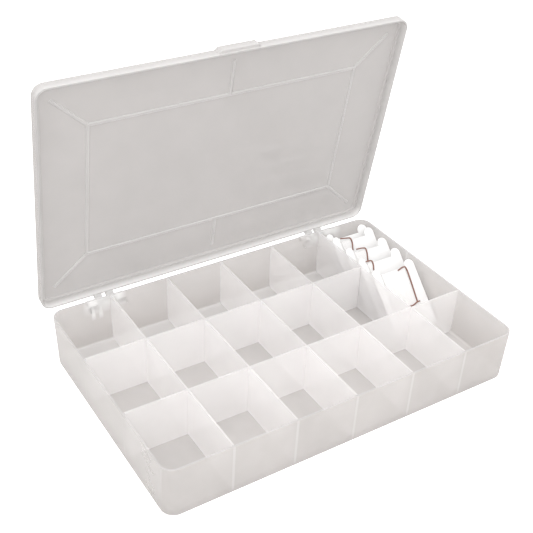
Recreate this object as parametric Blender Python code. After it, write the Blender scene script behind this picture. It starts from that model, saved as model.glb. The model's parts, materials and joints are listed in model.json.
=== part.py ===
"""Parts sorting tray: a long, shallow box with a grid of dividers, a hinged lid standing open,
and a row of floss cards leaning back in the double-length compartment.

Metres, +Z up, X along the box, the front wall at -Y. The origin is on the floor, under the
middle of the tray.
"""

from math import cos, radians, sin

import bmesh
import bpy
from mathutils import Matrix, Vector

MM = 0.001

# Tray shell
TRAY_LENGTH = 270 * MM
TRAY_WIDTH = 175 * MM
TRAY_HEIGHT = 38.8 * MM
WALL = 1.3 * MM
DRAFT = 0.9 * MM  # how far each wall leans in from rim to foot
CORNER = 9 * MM
FLOOR_CHAMFER = 1.5 * MM
FOOT_CHAMFER = 0.6 * MM

# Dividers: five across the tray and two along it, half-lapped where they cross
COLUMN_PITCH = 44.85 * MM
ROW_OFFSET = 29.6 * MM
DIVIDER = 1.3 * MM
GAP = 0.3 * MM

# Lid, drawn closed about its hinge axis
LID_OVERHANG = 2.35 * MM
LID_CORNER = 8 * MM
LID_WALL = 1.2 * MM
LID_DEPTH = 7.8 * MM
LID_EDGE_CHAMFER = 0.8 * MM
LID_OPEN_DEG = 79.7
SEAT_INSET = (2.5 * MM, 4.1 * MM)  # the bead under the panel that rests on the tray's rim
SEAT_HEIGHT = 2 * MM
RIB_WIDTH = 1.8 * MM
RIB_HEIGHT = 0.7 * MM
RIB_HALF_LENGTH = 101.7 * MM
RIB_HALF_WIDTH = 53.7 * MM
RIB_TIP = (125 * MM, 76 * MM)  # outer end of each corner rib
MIDDLE_RIB_END = 79 * MM
LIP_LENGTH = 32 * MM
LIP_PROUD = 2.2 * MM
LIP_HEIGHT = 6 * MM

# Hinges: on each, two lugs of the lid turn between two ears of the tray
HINGE_X = 91 * MM
HINGE_Y = 93.4 * MM
HINGE_Z = 31.4 * MM
KNUCKLE_RADIUS = 2.7 * MM
PIN_RADIUS = 1.2 * MM
PIN_HALF_LENGTH = 14.6 * MM
LUG_X = (1.8 * MM, 7 * MM)  # from the middle of the hinge
EAR_X = (7.3 * MM, 14 * MM)
SHELF_THICK = 1.5 * MM
GUSSET_X = (5.5 * MM, 11 * MM)
GUSSET_WIDTH = 1.8 * MM
GUSSET_DROP = 6.5 * MM

# Floss cards, drawn upright about the lower left corner: X across, Z up the card
CARD_LEFT = 91.6 * MM
CARD_WIDTH = 38.8 * MM
CARD_HEIGHT = 53 * MM
CARD_THICK = 1 * MM
LEFT_EAR = 6.4 * MM
RIGHT_EAR = 8.5 * MM
NOTCH = 5.7 * MM
# foot along Y, lean back in degrees, and how far right the floss is wound (None: bare)
CARDS = (
    (-17.4 * MM, 45.9, 28.9 * MM),
    (0.2 * MM, 45.1, 10.7 * MM),
    (17.1 * MM, 44.5, 17.1 * MM),
    (34.8 * MM, 44.5, 15.4 * MM),
    (41.4 * MM, 47.2, None),
)
FLOSS_THICK = 1 * MM

ARC_STEPS = 7

LENGTH_HALF = TRAY_LENGTH / 2
WIDTH_HALF = TRAY_WIDTH / 2
FLOOR = WALL
COLUMNS = [COLUMN_PITCH * k for k in (-2, -1, 0, 1, 2)]
LID_EDGE_Z = TRAY_HEIGHT + GAP + SEAT_HEIGHT + LID_WALL - LID_DEPTH  # lower edge, closed


def arc(centre, radius, start_deg, end_deg, steps=ARC_STEPS):
    """Points on an arc, from one angle to the other."""
    turns = [radians(start_deg + (end_deg - start_deg) * i / steps) for i in range(steps + 1)]
    return [(centre[0] + radius * cos(a), centre[1] + radius * sin(a)) for a in turns]


def rounded_rectangle(half_x, half_y, radius):
    """Anticlockwise outline with four round corners."""
    x, y = half_x - radius, half_y - radius
    corners = ((x, y, 0), (-x, y, 90), (-x, -y, 180), (x, -y, 270))
    return [p for cx, cy, a in corners for p in arc((cx, cy), radius, a, a + 90)]


def material(name, colour, roughness, metallic=0.0, alpha=1.0):
    made = bpy.data.materials.new(name)
    made.use_nodes = True
    shader = made.node_tree.nodes["Principled BSDF"]
    shader.inputs["Base Color"].default_value = (*colour, 1)
    shader.inputs["Roughness"].default_value = roughness
    shader.inputs["Metallic"].default_value = metallic
    shader.inputs["Alpha"].default_value = alpha
    made.diffuse_color = (*colour, alpha)
    return made


def finish(name, bm, surface=None):
    """Turns a bmesh into a named object with outward normals."""
    bmesh.ops.recalc_face_normals(bm, faces=bm.faces)
    mesh = bpy.data.meshes.new(name)
    bm.to_mesh(mesh)
    bm.free()
    mesh.shade_smooth()
    mesh.set_sharp_from_angle(angle=radians(30))
    made = bpy.data.objects.new(name, mesh)
    bpy.context.scene.collection.objects.link(made)
    if surface:
        mesh.materials.append(surface)
    return made


def skin(name, loops, surface=None):
    """A solid through a stack of loops with equal point counts, closed at both ends."""
    bm = bmesh.new()
    rings = [[bm.verts.new(p) for p in loop] for loop in loops]
    for low, high in zip(rings, rings[1:]):
        for i in range(len(low)):
            j = (i + 1) % len(low)
            bm.faces.new((low[i], low[j], high[j], high[i]))
    bm.faces.new(rings[0][::-1])
    bm.faces.new(rings[-1])
    return finish(name, bm, surface)


def prism(name, outline, start, end, axis, surface=None):
    """An outline extruded along an axis. Its points are the other two axes, in X, Y, Z order."""

    def place(point, along):
        return Vector([*point[:axis], along, *point[axis:]])

    return skin(name, [[place(p, along) for p in outline] for along in (start, end)], surface)


def ring(name, outer, inner, start, end, surface):
    """A tube along X between two outlines in YZ with equal point counts."""
    bm = bmesh.new()
    loops = [[bm.verts.new((x, *p)) for p in line] for x in (start, end) for line in (outer, inner)]
    for a, b in ((0, 1), (1, 3), (3, 2), (2, 0)):
        for i in range(len(outer)):
            j = (i + 1) % len(outer)
            bm.faces.new((loops[a][i], loops[a][j], loops[b][j], loops[b][i]))
    return finish(name, bm, surface)


def box(name, low, high):
    outline = [(low[0], low[1]), (high[0], low[1]), (high[0], high[1]), (low[0], high[1])]
    return prism(name, outline, low[2], high[2], 2)


def helper(made, group, parent=None):
    """Keeps a cutter or an added shape out of the model itself."""
    bpy.context.scene.collection.objects.unlink(made)
    group.objects.link(made)
    made.hide_render = True
    made.display_type = "WIRE"
    made.parent = parent
    return made


def helper_group(name):
    group = bpy.data.collections.new(name)
    bpy.context.scene.collection.children.link(group)
    return group


def combine(target, group, operation):
    modifier = target.modifiers.new(operation.lower(), "BOOLEAN")
    modifier.operation = operation
    modifier.operand_type = "COLLECTION"
    modifier.collection = group
    modifier.solver = "EXACT"


def bake(made):
    """Applies an object's Booleans, so that the new edges are shaded like the others."""
    graph = bpy.context.evaluated_depsgraph_get()
    mesh = bpy.data.meshes.new_from_object(made.evaluated_get(graph))
    made.modifiers.clear()
    made.data = mesh
    mesh.name = made.name
    mesh.shade_smooth()
    mesh.set_sharp_from_angle(angle=radians(30))


def wall_at(half, z):
    """Where a wall's outer face stands at a height: the walls lean in towards the foot."""
    return half - DRAFT * (1 - z / TRAY_HEIGHT)


def tray_loop(z, inset=0.0):
    half_x, half_y = wall_at(LENGTH_HALF, z) - inset, wall_at(WIDTH_HALF, z) - inset
    return [(x, y, z) for x, y in rounded_rectangle(half_x, half_y, CORNER - inset)]


def ear_outline():
    """YZ outline of one of the tray's hinge ears, rooted in the rear wall."""
    root = wall_at(WIDTH_HALF, HINGE_Z) - WALL / 2
    knuckle = arc((HINGE_Y, HINGE_Z), KNUCKLE_RADIUS, -90, 150, 14)
    return [(root, HINGE_Z - KNUCKLE_RADIUS - SHELF_THICK / 2), *knuckle, (root, HINGE_Z + 1.4 * MM)]


def shelf_outline():
    """YZ outline of the shelf under the knuckles and a gusset's foot below it."""
    top = HINGE_Z - KNUCKLE_RADIUS - GAP
    root = wall_at(WIDTH_HALF, top) - WALL / 2
    return [(root, top), (root, top - SHELF_THICK), (HINGE_Y, top - SHELF_THICK), (HINGE_Y, top)]


def gusset_outline():
    """YZ outline of a rib that tapers down the rear wall from the shelf."""
    top = HINGE_Z - KNUCKLE_RADIUS - GAP - SHELF_THICK / 2
    foot = top - GUSSET_DROP
    root = wall_at(WIDTH_HALF, foot) - WALL / 2
    return [(root, foot), (root + WALL / 2 + 1 * MM, foot), (HINGE_Y - 0.8 * MM, top), (root, top)]


def make_tray(surface, pin_bores):
    loops = [
        tray_loop(0, FOOT_CHAMFER),
        tray_loop(FOOT_CHAMFER),
        tray_loop(TRAY_HEIGHT),
        tray_loop(TRAY_HEIGHT, WALL),
        tray_loop(FLOOR + FLOOR_CHAMFER, WALL),
        tray_loop(FLOOR, WALL + FLOOR_CHAMFER),
    ]
    tray = skin("base_tray", loops, surface)
    brackets = helper_group("tray_brackets")
    for side in (-1, 1):
        middle = side * HINGE_X
        shelf = prism("shelf", shelf_outline(), middle - EAR_X[1], middle + EAR_X[1], 0)
        helper(shelf, brackets)
        for hand in (-1, 1):
            ear = prism("ear", ear_outline(), middle + hand * EAR_X[0], middle + hand * EAR_X[1], 0)
            helper(ear, brackets)
            for offset in GUSSET_X:
                start = middle + hand * offset - GUSSET_WIDTH / 2
                helper(prism("gusset", gusset_outline(), start, start + GUSSET_WIDTH, 0), brackets)
    combine(tray, brackets, "UNION")
    combine(tray, pin_bores, "DIFFERENCE")
    bake(tray)


def divider_outline(half, slots, from_top, cut_end=None):
    """Outline of a divider seen square on: ends that follow the walls, and half-lap slots."""
    low, high = FLOOR + GAP, TRAY_HEIGHT
    knee = FLOOR + FLOOR_CHAMFER + GAP
    middle = (low + high) / 2

    def end(z):
        return wall_at(half, z) - WALL - GAP

    right = [
        (end(low) - FLOOR_CHAMFER, low),
        (end(knee), knee),
        (end(high), high),
    ]
    if cut_end is not None:
        right = [(cut_end, low), (cut_end, high)]
    left = [(-end(high), high), (-end(knee), knee), (-end(low) + FLOOR_CHAMFER, low)]
    half_slot = DIVIDER / 2 + GAP
    notch_z = middle - GAP / 2 if from_top else middle + GAP / 2
    edge_z = high if from_top else low
    notches = []
    for at in sorted(slots, reverse=from_top):
        step = half_slot if from_top else -half_slot
        notches += [(at + step, edge_z), (at + step, notch_z), (at - step, notch_z), (at - step, edge_z)]
    if from_top:
        return [*right, *notches, *left]
    return [*right, *left, *notches]


def make_dividers(surface):
    half = DIVIDER / 2
    rows = (-ROW_OFFSET, ROW_OFFSET)
    for number, x in enumerate(COLUMNS, 1):
        crossed = rows if number < 5 else rows[:1]
        outline = divider_outline(WIDTH_HALF, crossed, from_top=True)
        prism(f"column_divider_{number}", outline, x - half, x + half, 0, surface)
    front = divider_outline(LENGTH_HALF, COLUMNS, from_top=False)
    prism("row_divider_front", front, -ROW_OFFSET - half, -ROW_OFFSET + half, 1, surface)
    stop = COLUMNS[4] - half - GAP
    rear = divider_outline(LENGTH_HALF, COLUMNS[:4], from_top=False, cut_end=stop)
    prism("row_divider_rear", rear, ROW_OFFSET - half, ROW_OFFSET + half, 1, surface)


def lid_loop(z, inset=0.0):
    """A loop of the closed lid, in the hinge axis's frame."""
    outline = rounded_rectangle(
        LENGTH_HALF + LID_OVERHANG - inset,
        WIDTH_HALF + LID_OVERHANG - inset,
        LID_CORNER - inset,
    )
    return [(x, y - HINGE_Y, z - HINGE_Z) for x, y in outline]


def lug_outline(top):
    """YZ outline of a lug of the lid, about the hinge axis, with the lid closed."""
    face = WIDTH_HALF + LID_OVERHANG - HINGE_Y
    root = face - LID_WALL / 2
    knuckle = arc((0, 0), KNUCKLE_RADIUS, 45, -200, 16)
    return [(root, top), (face + 0.9 * MM, top), *knuckle, (root, LID_EDGE_Z - HINGE_Z + 0.3 * MM)]


def rib_between(name, start, end, under):
    """A bar on the underside of the lid, its length along the line between two points."""
    a, b = Vector((*start, 0)), Vector((*end, 0))
    half = (b - a).length / 2 + RIB_WIDTH / 2
    made = box(
        name,
        (-half, -RIB_WIDTH / 2, under - RIB_HEIGHT),
        (half, RIB_WIDTH / 2, under + LID_WALL / 2),
    )
    turn = Matrix.Rotation((b - a).to_2d().angle_signed(Vector((1, 0))), 4, "Z")
    made.data.transform(Matrix.Translation((a + b) / 2 - Vector((0, HINGE_Y, HINGE_Z))) @ turn)
    return made


def make_lid(surface, pin_bores):
    top = LID_EDGE_Z + LID_DEPTH
    under = top - LID_WALL
    seat = under - SEAT_HEIGHT
    loops = [
        lid_loop(top, LID_EDGE_CHAMFER),
        lid_loop(top - LID_EDGE_CHAMFER),
        lid_loop(LID_EDGE_Z),
        lid_loop(LID_EDGE_Z, LID_WALL),
        lid_loop(under, LID_WALL),
        lid_loop(under, SEAT_INSET[0]),
        lid_loop(seat, SEAT_INSET[0]),
        lid_loop(seat, SEAT_INSET[1]),
        lid_loop(under, SEAT_INSET[1]),
    ]
    lid = skin("lid", loops, surface)
    lid.location = (0, HINGE_Y, HINGE_Z)
    lid.rotation_euler.x = -radians(LID_OPEN_DEG)
    added = helper_group("lid_ribs_and_lugs")
    x, y = RIB_HALF_LENGTH, RIB_HALF_WIDTH
    corners = ((x, y), (-x, y), (-x, -y), (x, -y))
    for (ax, ay), (bx, by) in zip(corners, corners[1:] + corners[:1]):
        helper(rib_between("rib", (ax, ay), (bx, by), under), added, lid)
        tip = (RIB_TIP[0] if ax > 0 else -RIB_TIP[0], RIB_TIP[1] if ay > 0 else -RIB_TIP[1])
        helper(rib_between("rib", (ax, ay), tip, under), added, lid)
    for side in (-1, 1):
        helper(rib_between("rib", (0, side * y), (0, side * MIDDLE_RIB_END), under), added, lid)
        middle = side * HINGE_X
        for hand in (-1, 1):
            ends = [middle + hand * offset for offset in LUG_X]
            helper(prism("lug", lug_outline(top - 1.5 * MM - HINGE_Z), *ends, 0), added, lid)
    front = -WIDTH_HALF - LID_OVERHANG
    half = LIP_LENGTH / 2
    lip = [
        (-half, front + LID_WALL / 2),
        (-half, front),
        (-half + LIP_PROUD, front - LIP_PROUD),
        (half - LIP_PROUD, front - LIP_PROUD),
        (half, front),
        (half, front + LID_WALL / 2),
    ]
    lip_top = top - LID_EDGE_CHAMFER
    lip_solid = prism("lip", lip, lip_top - LIP_HEIGHT, lip_top, 2)
    lip_solid.data.transform(Matrix.Translation((0, -HINGE_Y, -HINGE_Z)))
    helper(lip_solid, added, lid)
    combine(lid, added, "UNION")
    combine(lid, pin_bores, "DIFFERENCE")
    bake(lid)


def make_pins(surface):
    group = helper_group("pin_bores")
    for side, name in ((-1, "hinge_pin_left"), (1, "hinge_pin_right")):
        middle = side * HINGE_X
        circle = arc((0, 0), PIN_RADIUS, 0, 360, 20)[:-1]
        pin = prism(name, circle, -PIN_HALF_LENGTH, PIN_HALF_LENGTH, 0, surface)
        pin.location = (middle, HINGE_Y, HINGE_Z)
        hole = arc((HINGE_Y, HINGE_Z), PIN_RADIUS + GAP, 0, 360, 20)[:-1]
        reach = PIN_HALF_LENGTH + 2 * MM
        helper(prism("bore", hole, middle - reach, middle + reach, 0), group)
    return group


def card_outline():
    """Half-round ears at the four corners, and a shallow notch between each pair."""
    low, high = 0.0, CARD_HEIGHT
    left, right = 0.0, CARD_WIDTH
    left_r, right_r = LEFT_EAR / 2, RIGHT_EAR / 2
    return [
        *arc((right - right_r, high - right_r), right_r, 0, 180, 10),
        (right - RIGHT_EAR, high - NOTCH),
        (left + LEFT_EAR, high - NOTCH),
        *arc((left + left_r, high - left_r), left_r, 0, 180, 8),
        *arc((left + left_r, low + left_r), left_r, 180, 360, 8),
        (left + LEFT_EAR, low + NOTCH),
        (right - RIGHT_EAR, low + NOTCH),
        *arc((right - right_r, low + right_r), right_r, 180, 360, 10),
    ]


def make_cards(board, floss):
    half = CARD_THICK / 2
    inner = rounded_rectangle(half + GAP, CARD_HEIGHT / 2 - NOTCH + GAP, 0.2 * MM)
    outer = rounded_rectangle(
        half + GAP + FLOSS_THICK,
        CARD_HEIGHT / 2 - NOTCH + GAP + FLOSS_THICK,
        0.2 * MM + FLOSS_THICK,
    )
    inner = [(y, z + CARD_HEIGHT / 2) for y, z in inner]
    outer = [(y, z + CARD_HEIGHT / 2) for y, z in outer]
    for number, (foot, lean, wound_to) in enumerate(CARDS, 1):
        tilt = -radians(lean)
        place = (CARD_LEFT, foot, FLOOR + GAP + half * sin(radians(lean)))
        card = prism(f"floss_card_{number}", card_outline(), -half, half, 1, board)
        card.location = place
        card.rotation_euler.x = tilt
        if wound_to:
            name = f"floss_winding_{number}"
            wound = ring(name, outer, inner, LEFT_EAR + GAP, wound_to - GAP, floss)
            wound.parent = card


def main():
    for old in list(bpy.data.objects):
        bpy.data.objects.remove(old, do_unlink=True)
    clear_plastic = material("natural_polypropylene", (0.80, 0.79, 0.77), 0.3, alpha=0.45)
    steel = material("steel", (0.35, 0.34, 0.33), 0.35, metallic=1.0)
    board = material("white_board", (0.93, 0.93, 0.92), 0.7)
    floss = material("white_floss", (0.95, 0.95, 0.94), 0.85)
    pin_bores = make_pins(steel)
    make_tray(clear_plastic, pin_bores)
    make_dividers(clear_plastic)
    make_lid(clear_plastic, pin_bores)
    make_cards(board, floss)


main()
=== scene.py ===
"""Looks of the parts sorting tray: milky polypropylene shells with softened edges, floss cards
wound turn by turn, and a plain white studio. Metres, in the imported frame: +Z up, front wall at -Y.
"""

import json
from math import cos, pi, radians, sin

import bmesh
import bpy
from mathutils import Euler, Matrix, Vector

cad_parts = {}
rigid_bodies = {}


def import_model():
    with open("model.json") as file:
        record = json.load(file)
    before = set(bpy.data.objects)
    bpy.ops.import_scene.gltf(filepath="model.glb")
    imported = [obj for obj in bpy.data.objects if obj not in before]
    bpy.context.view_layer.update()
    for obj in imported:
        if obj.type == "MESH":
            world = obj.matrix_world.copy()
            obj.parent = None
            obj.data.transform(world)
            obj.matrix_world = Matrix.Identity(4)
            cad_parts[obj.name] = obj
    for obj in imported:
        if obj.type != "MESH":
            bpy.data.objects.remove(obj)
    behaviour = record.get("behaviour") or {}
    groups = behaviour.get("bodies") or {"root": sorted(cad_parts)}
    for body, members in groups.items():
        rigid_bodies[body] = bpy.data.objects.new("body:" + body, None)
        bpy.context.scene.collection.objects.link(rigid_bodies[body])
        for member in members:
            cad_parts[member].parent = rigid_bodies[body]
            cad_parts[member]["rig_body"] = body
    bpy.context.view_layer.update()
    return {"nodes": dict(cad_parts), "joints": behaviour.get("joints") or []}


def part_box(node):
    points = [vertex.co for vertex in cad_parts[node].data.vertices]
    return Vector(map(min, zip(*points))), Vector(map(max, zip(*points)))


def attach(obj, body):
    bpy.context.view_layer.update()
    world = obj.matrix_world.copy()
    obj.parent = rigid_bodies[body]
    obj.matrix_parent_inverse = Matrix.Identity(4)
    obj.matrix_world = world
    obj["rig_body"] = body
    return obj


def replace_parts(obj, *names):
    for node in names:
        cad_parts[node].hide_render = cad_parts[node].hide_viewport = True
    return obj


MM = 0.001

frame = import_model()
NODES = frame["nodes"]
JOINTS = {joint["name"]: joint for joint in frame["joints"]}

# Camera: where it stands, and its turn, tilt and roll in degrees
CAMERA_AT = Vector((-302.6, -435.7, 437.6)) * MM
CAMERA_TURN = -33.38
CAMERA_DOWN = 33.67
CAMERA_ROLL = 2.58
CAMERA_LENS = 64.9
SENSOR_WIDTH = 36
CLIP_START = 0.01

# Studio: a grey paper sweep under a sky that is brightest overhead, and one large soft light
SWEEP_HALF = 4
SWEEP_DROP = 0.3 * MM
SWEEP_GREY = (0.5, 0.485, 0.475)
SWEEP_WHITE = (0.97, 0.97, 0.97)
SWEEP_GLOW = 0.35
SKY_LOW = 1.2
SKY_HIGH = 1.55
KEY_AT = (-0.5, -0.45, 0.9)
KEY_AIM = (0, 0, 0.03)
KEY_SIZE = 1.4
KEY_POWER = 5.5

# Edge roundings
SHELL_EDGE = 0.3 * MM
THIN_EDGE = 0.25 * MM
PIN_EDGE = 0.2 * MM
CARD_EDGE = 0.15 * MM
SHARP = radians(28)
SMOOTHED = radians(32)
FLAT = radians(0.6)
SAME_POINT = 0.002 * MM

# The tray
TRAY_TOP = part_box("column_divider_1")[1].z
LENGTH_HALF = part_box("base_tray")[1].x
WIDTH_HALF = -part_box("base_tray")[0].y
BRACKETS_FROM = 88.3 * MM
BRACKET_OUT = 94.5 * MM
FINGERS_OUT = 100.8 * MM
FINGER_OFFSET = 2.8 * MM
COLUMN_PITCH = 44.85 * MM
ROW_OFFSET = 29.6 * MM
WELD_WIDTH = 0.85 * MM

# The lid as drawn stands open; these are its places as if shut
LID_OPEN = radians(-JOINTS["lid_hinge"]["range_deg"][0])
LID_EDGE = 34.5 * MM
LID_PANEL = 41.1 * MM
RIBS_WITHIN = (126 * MM, 78 * MM)

# Plastic: flow marks and clouds, orange-peel, rub scratches
FLOW_SCALE, CLOUD_SCALE = 9, 45
FLOW_SHARE = 0.65
PEEL_SCALE, PEEL_STRENGTH = 160, 0.05
SCRATCH_STRETCH, SCRATCH_STRENGTH = (40, 60, 400), 0.015
RELIEF_DEPTH = 0.1 * MM
# The colour of painted glow and highlights, and the share of the plain tone kept under painted shade
EDGE_LIT = (0.98, 0.975, 0.97)
SHADED = (0.86, 0.84, 0.83)

# Other materials
FINE_DEPTH = 0.05 * MM

# Floss
TURN_PITCH = 0.85 * MM
TURN_DEPTH = 0.22 * MM
TURN_STEPS = 5
TURN_SLACK = 0.12 * MM
END_ROUNDING = 0.35 * MM
WINDING_CORNER = 0.9 * MM
FLOSS_HALF_Y = 1.75 * MM
FLOSS_HALF_Z = 22 * MM
CORE_HALF_Y = 0.55 * MM
CORE_INSET = 1.2 * MM
CORE_CORNER = 0.1 * MM
STRAND_RADIUS = 0.55 * MM
STRAND_PROUD = 0.2 * MM

# Brown ends of floss: name, card, and route in mm across the card and down from its top
STRANDS = (
    ("card_1_strand", 1, [(22, 6.4), (27.6, 5.2), (29, 5.5), (29.6, 7.2), (27.9, 34)]),
    ("card_1_tail", 1, [(19.5, 34.6), (22.5, 35), (25.5, 34.3), (27.6, 33.6), (30.2, 33.6)]),
    ("card_2_strand", 2, [(5.5, 3.9), (9.4, 4.2), (10.4, 4.6), (10.9, 6), (9.4, 12)]),
    ("card_3_strand", 3, [(9, 3.4), (15.6, 4.2), (16.6, 4.6), (17.1, 6), (14.8, 15.5)]),
    ("card_4_strand", 4, [(6.5, 2.9), (13.4, 4.2), (14.8, 4.6), (15.6, 6), (13.8, 14.5)]),
)


# --- node trees -----------------------------------------------------------------------------


class Nodes:
    """Short names for building a node tree."""

    def __init__(self, tree):
        self.tree = tree

    def add(self, kind, settings=None, **inputs):
        node = self.tree.nodes.new(kind)
        for key, value in (settings or {}).items():
            setattr(node, key, value)
        for key, value in inputs.items():
            self.feed(node.inputs[key.replace("_", " ")], value)
        return node

    def feed(self, socket, value):
        if isinstance(value, bpy.types.NodeSocket):
            self.tree.links.new(value, socket)
        else:
            socket.default_value = value

    def math(self, operation, *values):
        node = self.add("ShaderNodeMath", {"operation": operation})
        for socket, value in zip(node.inputs, values):
            self.feed(socket, value)
        return node.outputs[0]

    def split(self, vector):
        return self.add("ShaderNodeSeparateXYZ", Vector=vector).outputs

    def spread(self, value, low, high, start=0.3, end=0.7):
        """Maps a value's useful range onto low to high."""
        made = self.add("ShaderNodeMapRange")
        ranges = {"From Min": start, "From Max": end, "To Min": low, "To Max": high}
        for key, number in ranges.items():
            made.inputs[key].default_value = number
        self.feed(made.inputs["Value"], value)
        return made.outputs["Result"]

    def mix(self, factor, first, second):
        made = self.add("ShaderNodeMix", {"data_type": "RGBA"})
        self.feed(made.inputs["Factor"], factor)
        for name, colour in (("A", first), ("B", second)):
            socket = [s for s in made.inputs if s.name == name and s.type == "RGBA"][0]
            self.feed(socket, colour if isinstance(colour, bpy.types.NodeSocket) else (*colour, 1))
        return [s for s in made.outputs if s.type == "RGBA"][0]


class Paint(Nodes):
    """One material, in its piece's own coordinates."""

    def __init__(self, name):
        self.material = bpy.data.materials.new(name)
        self.material.use_nodes = True
        super().__init__(self.material.node_tree)
        self.shader = self.tree.nodes["Principled BSDF"]
        self.place = self.add("ShaderNodeTexCoord").outputs["Object"]

    def moved(self, **inputs):
        return self.add("ShaderNodeMapping", Vector=self.place, **inputs).outputs[0]

    def noise(self, scale, detail=3.0, roughness=0.5, vector=None):
        made = self.add(
            "ShaderNodeTexNoise",
            Vector=self.place if vector is None else vector,
            Scale=scale,
            Detail=detail,
            Roughness=roughness,
        )
        return made.outputs["Fac"]

    def bump(self, height, strength, distance, below=None):
        made = self.add("ShaderNodeBump", Height=height, Strength=strength, Distance=distance)
        if below is not None:
            self.feed(made.inputs["Normal"], below)
        return made.outputs["Normal"]

    def finish(self, colour, roughness, normal=None, **plain):
        self.feed(self.shader.inputs["Base Color"], colour)
        self.feed(self.shader.inputs["Roughness"], roughness)
        if normal is not None:
            self.feed(self.shader.inputs["Normal"], normal)
        for key, value in plain.items():
            self.shader.inputs[key.replace("_", " ")].default_value = value
        return self.material


# --- plastic --------------------------------------------------------------------------------


def polypropylene(
    name, colour, alpha, roughness=0.32, ior=1.49, relief=1.0, mottle=0.035, pale=None, deep=None
):
    """Milky moulded plastic: cloudy flow marks, a faint orange-peel, fine rub scratches.
    pale gives a mask of where a painted glow whitens it, for thicker, edge-lit plastic; deep of
    where painted shade darkens it. relief scales the peel and scratches; mottle is how much the tone
    varies."""
    n = Paint(name)
    flow = n.noise(FLOW_SCALE, detail=4, roughness=0.6)
    cloud = n.noise(CLOUD_SCALE, detail=2)
    shares = n.math("MULTIPLY", flow, FLOW_SHARE), n.math("MULTIPLY", cloud, 1 - FLOW_SHARE)
    dark = [c * (1 - mottle) for c in colour]
    light = [min(1, c * (1 + mottle)) for c in colour]
    shade = n.mix(n.spread(n.math("ADD", *shares), 0, 1, 0.35, 0.65), dark, light)
    if deep:
        shade = n.mix(deep(n), shade, [c * k for c, k in zip(colour, SHADED)])
    if pale:
        shade = n.mix(pale(n), shade, EDGE_LIT)
    scratches = n.noise(1, detail=1, vector=n.moved(Scale=SCRATCH_STRETCH))
    peel = n.bump(n.noise(PEEL_SCALE, detail=1), PEEL_STRENGTH * relief, RELIEF_DEPTH)
    normal = n.bump(scratches, SCRATCH_STRENGTH * relief, RELIEF_DEPTH, below=peel)
    rough = n.spread(flow, roughness * 0.8, roughness * 1.3)
    return n.finish(shade, rough, normal, Alpha=alpha, IOR=ior)


def near(n, value, target, half_width, soft=0.5 * MM):
    """1 where a value is within half_width of a target, falling to 0 over a soft edge."""
    away = n.math("ABSOLUTE", n.math("SUBTRACT", value, target))
    return n.spread(away, 1, 0, half_width - soft / 2, half_width + soft / 2)


def highest(n, first, *others):
    """The greatest of several masks at each point."""
    for other in others:
        first = n.math("MAXIMUM", first, other)
    return first


def weld_glow_lines(n, x, y, z):
    """The lines on the walls where the dividers meet them: real joints, whitened by a painted glow.
    """
    out = n.math("ABSOLUTE", x)
    beside = n.math("PINGPONG", x, COLUMN_PITCH / 2)
    inside = n.math("LESS_THAN", out, 2.5 * COLUMN_PITCH)  # short of the end walls
    columns = n.math("MULTIPLY", near(n, beside, 0, WELD_WIDTH), inside)
    beyond = n.math("GREATER_THAN", out, 2.9 * COLUMN_PITCH)  # on the end walls
    across = near(n, n.math("ABSOLUTE", y), ROW_OFFSET, WELD_WIDTH)
    rows = n.math("MULTIPLY", across, beyond)
    on_wall = n.spread(z, 0, 0.4, 1 * MM, 4 * MM)
    return n.math("MULTIPLY", highest(n, columns, rows), on_wall)


def bracket_root_glow(n, x, y, z):
    """Where the hinge brackets grow out of the rear wall: a painted glow, a band with two fingers
    below it, for the brackets seen through the wall.
    """
    out = n.math("ABSOLUTE", x)
    aside = n.math("ABSOLUTE", n.math("SUBTRACT", out, BRACKET_OUT))
    band = n.spread(aside, 1, 0, 11 * MM, 17 * MM)
    band = n.math("MULTIPLY", band, n.spread(z, 0, 0.95, 26 * MM, 34 * MM))
    beside = n.math("ABSOLUTE", n.math("SUBTRACT", out, FINGERS_OUT))
    apart = n.math("ABSOLUTE", n.math("SUBTRACT", beside, FINGER_OFFSET))
    fingers = n.spread(apart, 1, 0, 0.7 * MM, 2 * MM)
    fingers = n.math("MULTIPLY", fingers, n.spread(z, 0, 0.95, 21.5 * MM, 26 * MM))
    on_rear = n.spread(y, 0, 1, 84 * MM, 85 * MM)
    return n.math("MULTIPLY", highest(n, band, fingers), on_rear)


def shell_glow(n):
    """The tray's painted light: a painted glow along the weld lines and bracket roots, the left wall
    and the rear floor painted brighter as if more lit, and a painted highlight along the top edge.
    """
    x, y, z = n.split(n.place)
    left = n.spread(x, 0.35, 0, -LENGTH_HALF + 0.5 * MM, -LENGTH_HALF + 1 * MM)
    on_floor = n.spread(z, 0.3, 0, 2.2 * MM, 2.6 * MM)
    at_rear = n.spread(y, 0, 1, ROW_OFFSET, ROW_OFFSET + 6 * MM)
    rear_floor_light = n.math("MULTIPLY", on_floor, at_rear)
    top_edge_highlight = n.spread(z, 0, 0.2, TRAY_TOP - 0.8 * MM, TRAY_TOP - 0.2 * MM)
    weld_glow = weld_glow_lines(n, x, y, z)
    return highest(n, weld_glow, bracket_root_glow(n, x, y, z), left, rear_floor_light, top_edge_highlight)


def rear_shade(n):
    """The rear and right walls' inner faces, away from the light, darker towards their foot."""
    x, y, z = n.split(n.place)
    foot = n.spread(z, 1, 0.2, 3 * MM, 34 * MM)
    rear = n.spread(y, 0, 1, WIDTH_HALF - 3 * MM, WIDTH_HALF - 2 * MM)
    right = n.spread(x, 0, 1, LENGTH_HALF - 3 * MM, LENGTH_HALF - 2 * MM)
    return n.math("MULTIPLY", foot, highest(n, rear, right))


def shut_point(point):
    """Where a point of the open lid lies once the lid is shut."""
    axis = Vector(JOINTS["lid_hinge"]["pos_m"])
    return axis + Matrix.Rotation(LID_OPEN, 3, "X") @ (point - axis)


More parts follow.
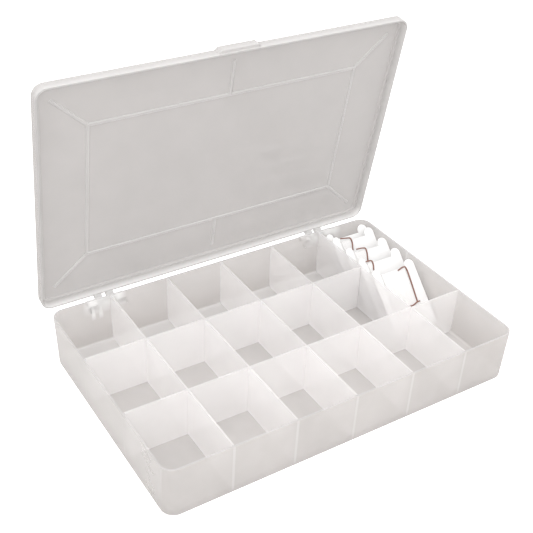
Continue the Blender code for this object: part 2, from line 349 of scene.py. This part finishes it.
def lid_glow(n):
    """The lid's skirt, whitened by a painted glow: paler towards its free edge, and most along the
    hinges. It is placed as if the lid were shut, whatever its pose."""
    shut = n.moved(Rotation=(LID_OPEN, 0, 0), Location=shut_point(Vector()))
    _, y, z = n.split(shut)
    most = n.spread(y, 0.4, 0.85, 80 * MM, 84 * MM)
    return n.math("MULTIPLY", most, n.spread(z, 1, 0, LID_EDGE, LID_PANEL - 1 * MM))


# --- other materials ------------------------------------------------------------------------


def steel():
    """Drawn wire, with fine lines along it."""
    n = Paint("pin_steel")
    drawn = n.noise(1, detail=2, vector=n.moved(Scale=(60, 2500, 2500)))
    colour = n.mix(n.spread(drawn, 0, 1), (0.2, 0.19, 0.18), (0.42, 0.41, 0.4))
    rough = n.spread(drawn, 0.25, 0.45)
    return n.finish(colour, rough, n.bump(drawn, 0.1, FINE_DEPTH), Metallic=1.0)


def board():
    """Bright white card with a faint fibre."""
    n = Paint("white_board")
    fibre = n.noise(900, detail=3, roughness=0.65)
    mottle = n.noise(60, detail=2)
    colour = n.mix(n.spread(mottle, 0, 1), (0.78, 0.775, 0.77), (0.82, 0.815, 0.81))
    return n.finish(colour, n.spread(fibre, 0.6, 0.8), n.bump(fibre, 0.12, FINE_DEPTH))


def floss(name, dark, light):
    """Six-strand cotton: a slanting twist along each turn."""
    n = Paint(name)
    twist = n.add(
        "ShaderNodeTexWave",
        Vector=n.moved(Rotation=(0.4, 0.7, 0.5)),
        Scale=700,
        Distortion=1.5,
        Detail=2,
    ).outputs["Fac"]
    fuzz = n.noise(2500, detail=2)
    colour = n.mix(n.spread(twist, 0, 1, 0.1, 0.9), dark, light)
    normal = n.bump(fuzz, 0.2, FINE_DEPTH, below=n.bump(twist, 0.35, 0.08 * MM))
    return n.finish(colour, n.spread(fuzz, 0.7, 0.9), normal, Sheen_Weight=0.2)


# --- pieces ---------------------------------------------------------------------------------


def linked(name, data):
    made = bpy.data.objects.new(name, data)
    bpy.context.scene.collection.objects.link(made)
    return made


def mesh_of(bm, name):
    mesh = bpy.data.meshes.new(name)
    bm.to_mesh(mesh)
    bm.free()
    return mesh


def placed(name, mesh, paints, node):
    """A finished mesh that stands for a CAD node and moves with its body."""
    for paint in paints:
        mesh.materials.append(paint)
    mesh.shade_smooth()
    mesh.set_sharp_from_angle(angle=SMOOTHED)
    made = linked(name, mesh)
    flat = made.modifiers.new("flat_faces", "WEIGHTED_NORMAL")
    flat.keep_sharp = True
    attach(made, NODES[node]["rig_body"])
    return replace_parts(made, node)


def softened(node, name, paints, width, pick=None, whole=False):
    """The CAD node's shape with its sharp edges rounded, as a moulded or cut edge is.
    pick gives the number of the paint for a face, from its middle and its normal.
    whole closes the halving slots, since moulded-in plates run into each other."""
    bm = bmesh.new()
    bm.from_mesh(NODES[node].data)
    bmesh.ops.remove_doubles(bm, verts=bm.verts, dist=SAME_POINT)
    if whole:
        hull = bmesh.ops.convex_hull(bm, input=bm.verts)
        unused = hull["geom_interior"] + hull["geom_unused"]
        bmesh.ops.delete(bm, geom=unused, context="VERTS")
        spare = [f for f in bm.faces if f not in set(hull["geom"])]
        bmesh.ops.delete(bm, geom=spare, context="FACES")
    bmesh.ops.dissolve_limit(bm, angle_limit=FLAT, verts=bm.verts, edges=bm.edges)
    sharp = [e for e in bm.edges if e.is_manifold and e.calc_face_angle() > SHARP]
    bmesh.ops.bevel(
        bm,
        geom=sharp,
        offset=width,
        segments=2,
        profile=0.5,
        affect="EDGES",
        clamp_overlap=False,
    )
    bm.normal_update()
    for face in bm.faces:
        face.material_index = pick(face.calc_center_median(), face.normal) if pick else 0
    return placed(name, mesh_of(bm, name), paints, node)


def tray_faces(middle, normal):
    """1 on the tray's top rim, which carries light from the wall, 2 on its hinge brackets."""
    if middle.z > TRAY_TOP - 0.5 * MM and normal.z > 0.3:
        return 1
    return 2 if middle.y > BRACKETS_FROM else 0


def divider_faces(along):
    """1 on a divider's top edge and its two ends: a painted highlight, for the milky plastic seen
    end-on.
    """
    return lambda middle, normal: int(normal.z > 0.3 or abs(normal[along]) > 0.3)


def lid_faces(middle, normal):
    """1 on the lid's free edge and the sides of its ribs, 2 on the tops of the ribs and bead: tones
    of painted light and shade that pick them out.
    """
    shut = shut_point(middle)
    facing = (Matrix.Rotation(LID_OPEN, 3, "X") @ normal).z
    if shut.z < LID_EDGE + 0.5 * MM and facing < -0.3:
        return 1
    if (
        abs(shut.x) < RIBS_WITHIN[0]
        and abs(shut.y) < RIBS_WITHIN[1]
        and shut.z < LID_PANEL - 0.02 * MM
    ):
        return 2 if facing < -0.98 else 1
    on_bead = LID_EDGE + 2 * MM < shut.z < LID_PANEL - 0.5 * MM and facing < -0.9
    return 2 if on_bead else 0


def card_space(number):
    """From a card's own frame (X across, Y through it to the back, Z up it) to the row frame.
    Its origin is at the card's left edge, halfway up."""
    low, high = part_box(f"floss_card_{number}")
    up = Vector(JOINTS[f"card_{number}_lift"]["axis"]).normalized()
    back = Vector((0, up.z, -up.y))
    turn = Matrix((Vector((1, 0, 0)), back, up)).transposed().to_4x4()
    middle = Vector((low.x, (low.y + high.y) / 2, (low.z + high.z) / 2))
    return Matrix.Translation(middle) @ turn


def rounded(half_x, half_y, radius, steps=4):
    """Anticlockwise outline of a rounded rectangle."""
    points = []
    for cx, cy, start in ((1, 1, 0), (-1, 1, 90), (-1, -1, 180), (1, -1, 270)):
        for i in range(steps + 1):
            a = radians(start + 90 * i / steps)
            x = cx * (half_x - radius) + radius * cos(a)
            y = cy * (half_y - radius) + radius * sin(a)
            points.append((x, y))
    return points


def winding(number, paint):
    """Turns of floss side by side round a card's waist, each turn a rounded ridge."""
    node = f"floss_winding_{number}"
    name = f"card_{number}_floss"
    space = card_space(number)
    low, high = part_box(node)
    left, right = low.x - space.translation.x, high.x - space.translation.x
    turns = max(3, round((right - left) / TURN_PITCH))
    steps = turns * TURN_STEPS
    bm = bmesh.new()

    def ring_at(x, half_y, half_z, corner):
        outline = rounded(half_y, half_z, corner)
        return [bm.verts.new(space @ Vector((x, y, z))) for y, z in outline]

    rings = []
    for i in range(steps + 1):
        x = left + (right - left) * i / steps
        turn = i * turns / steps
        slack = TURN_SLACK * sin(7.3 * int(turn) + number)
        shrink = TURN_DEPTH * (1 - abs(sin(pi * turn))) + max(0.0, slack)
        if i in (0, steps):
            shrink += END_ROUNDING
        rings.append(ring_at(x, FLOSS_HALF_Y - shrink, FLOSS_HALF_Z - shrink, WINDING_CORNER))
    for a, b in zip(rings, rings[1:]):
        for j in range(len(a)):
            k = (j + 1) % len(a)
            bm.faces.new((a[j], b[j], b[k], a[k]))
    for ring, x in ((rings[0], left), (rings[-1], right)):
        inner = ring_at(x, CORE_HALF_Y, FLOSS_HALF_Z - CORE_INSET, CORE_CORNER)
        for j in range(len(ring)):
            k = (j + 1) % len(ring)
            bm.faces.new((ring[j], ring[k], inner[k], inner[j]))
    bmesh.ops.recalc_face_normals(bm, faces=bm.faces)
    return placed(name, mesh_of(bm, name), (paint,), node)


def strand(name, number, route, paint):
    """A brown end of floss laid over a winding."""
    space = card_space(number)
    low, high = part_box(f"floss_card_{number}")
    top = (high - low).yz.length / 2
    curve = bpy.data.curves.new(name, "CURVE")
    curve.dimensions = "3D"
    curve.bevel_depth = STRAND_RADIUS
    curve.bevel_resolution = 3
    curve.use_fill_caps = True
    spline = curve.splines.new("BEZIER")
    spline.bezier_points.add(len(route) - 1)
    for point, (across, down) in zip(spline.bezier_points, route):
        place = Vector((across * MM, -FLOSS_HALF_Y - STRAND_PROUD, top - down * MM))
        point.co = space @ place
        point.handle_left_type = point.handle_right_type = "AUTO"
    curve.materials.append(paint)
    made = linked(name, curve)
    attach(made, f"card_{number}")
    return made


# --- the object -----------------------------------------------------------------------------


def tray_and_lid():
    # The shell and the lid are the dividers' milky plastic in darker, greyer tones: painted shade
    shell = polypropylene(
        "shell_plastic",
        (0.69, 0.664, 0.648),
        0.38,
        relief=0.12,
        mottle=0.07,
        pale=shell_glow,
        deep=rear_shade,
    )
    divider = polypropylene("divider_plastic", (0.885, 0.866, 0.864), 0.43, relief=0.5)
    lid = polypropylene(
        "lid_plastic",
        (0.54, 0.52, 0.51),
        0.48,
        roughness=0.05,
        ior=1.8,
        relief=0.15,
        pale=lid_glow,
    )
    # Edge, rim, lid edge and rib plastics are the same plastic in other tones: painted highlight and
    # shade lines
    edge = polypropylene("edge_plastic", (0.70, 0.685, 0.68), 0.5, relief=0.5)
    rim = polypropylene("rim_plastic", (0.55, 0.535, 0.53), 0.5, relief=0.5)
    lid_edge = polypropylene("lid_edge_plastic", (0.56, 0.55, 0.545), 0.7, relief=0.3)
    rib = polypropylene("rib_plastic", (0.62, 0.605, 0.595), 0.45)
    # A whiter copy of the plastic: a painted glow that keeps the shaded hinge brackets bright
    bracket = polypropylene("bracket_plastic", (0.95, 0.94, 0.93), 0.8)
    paints = (shell, rim, bracket)
    softened("base_tray", "tray_shell", paints, SHELL_EDGE, pick=tray_faces)
    paints = (lid, lid_edge, rib)
    softened("lid", "lid_shell", paints, SHELL_EDGE, pick=lid_faces)
    for node in NODES:
        if "divider" not in node:
            continue
        plate = softened(
            node,
            f"{node}_plate",
            (divider, edge),
            THIN_EDGE,
            pick=divider_faces(1 if "column" in node else 0),
            whole=True,
        )
        plate.visible_shadow = False  # light fills the compartments through the milky plates
    pin = steel()
    for side in ("left", "right"):
        softened(f"hinge_pin_{side}", f"pin_{side}", (pin,), PIN_EDGE)


def cards():
    card = board()
    white = floss("white_floss", (0.68, 0.67, 0.66), (0.80, 0.79, 0.785))
    brown = floss("brown_floss", (0.15, 0.062, 0.045), (0.28, 0.14, 0.105))
    for number in range(1, 6):
        name = f"card_{number}_board"
        softened(f"floss_card_{number}", name, (card,), CARD_EDGE)
    for number in range(1, 5):
        winding(number, white)
    for name, number, route in STRANDS:
        strand(name, number, route, brown)


# --- studio ---------------------------------------------------------------------------------


def cut_out(n):
    """1 where the sweep is looked at directly, with no plastic before it."""
    path = n.add("ShaderNodeLightPath").outputs
    clear = n.math("LESS_THAN", path["Transparent Depth"], 0.5)
    return n.math("MULTIPLY", path["Is Camera Ray"], clear)


def sweep():
    """A floor of grey paper that reads white where it is looked at directly."""
    half = SWEEP_HALF
    corners = [(-half, -half), (half, -half), (half, half), (-half, half)]
    mesh = bpy.data.meshes.new("floor")
    mesh.from_pydata([(x, y, -SWEEP_DROP) for x, y in corners], [], [(0, 1, 2, 3)])
    n = Paint("floor_paper")
    tooth = n.spread(n.noise(300, detail=2), 0, 1)
    grey = n.mix(tooth, [c * 0.98 for c in SWEEP_GREY], [c * 1.02 for c in SWEEP_GREY])
    white = cut_out(n)
    mesh.materials.append(n.finish(n.mix(white, grey, SWEEP_WHITE), 0.9, Specular_IOR_Level=0.1))
    n.feed(n.shader.inputs["Emission Color"], (1, 1, 1, 1))
    n.feed(n.shader.inputs["Emission Strength"], n.math("MULTIPLY", white, SWEEP_GLOW))
    linked("floor", mesh)


def sky():
    """An even white dome, brighter overhead, and plain white where it is looked at directly."""
    world = bpy.data.worlds.new("studio")
    bpy.context.scene.world = world
    world.use_nodes = True
    n = Nodes(world.node_tree)
    background = n.tree.nodes["Background"]
    background.inputs["Color"].default_value = (1, 1, 1, 1)
    up = n.split(n.add("ShaderNodeTexCoord").outputs["Generated"])["Z"]
    glow = n.spread(up, SKY_LOW, SKY_HIGH, 0.0, 1.0)
    n.feed(background.inputs["Strength"], highest(n, glow, cut_out(n)))


def key_light():
    data = bpy.data.lights.new("key", "AREA")
    data.size = KEY_SIZE
    data.energy = KEY_POWER
    made = linked("key", data)
    made.location = KEY_AT
    towards = Vector(KEY_AIM) - Vector(KEY_AT)
    made.rotation_euler = towards.to_track_quat("-Z", "Y").to_euler()


def camera():
    data = bpy.data.cameras.new("camera")
    data.sensor_width = SENSOR_WIDTH
    data.lens = CAMERA_LENS
    data.clip_start = CLIP_START
    made = linked("camera", data)
    turn = Euler((0, 0, radians(CAMERA_TURN))).to_matrix()
    tilt = Euler((radians(90 - CAMERA_DOWN), 0, 0)).to_matrix()
    roll = Euler((0, 0, radians(CAMERA_ROLL))).to_matrix()
    made.matrix_world = Matrix.Translation(CAMERA_AT) @ (turn @ tilt @ roll).to_4x4()
    bpy.context.scene.camera = made


def light_paths():
    """Plain display colours, and enough bounces to see through every layer of plastic."""
    scene = bpy.context.scene
    scene.view_settings.view_transform = "Standard"
    scene.cycles.transparent_max_bounces = 32
    scene.cycles.max_bounces = 12


tray_and_lid()
cards()
sweep()
sky()
key_light()
camera()
light_paths()
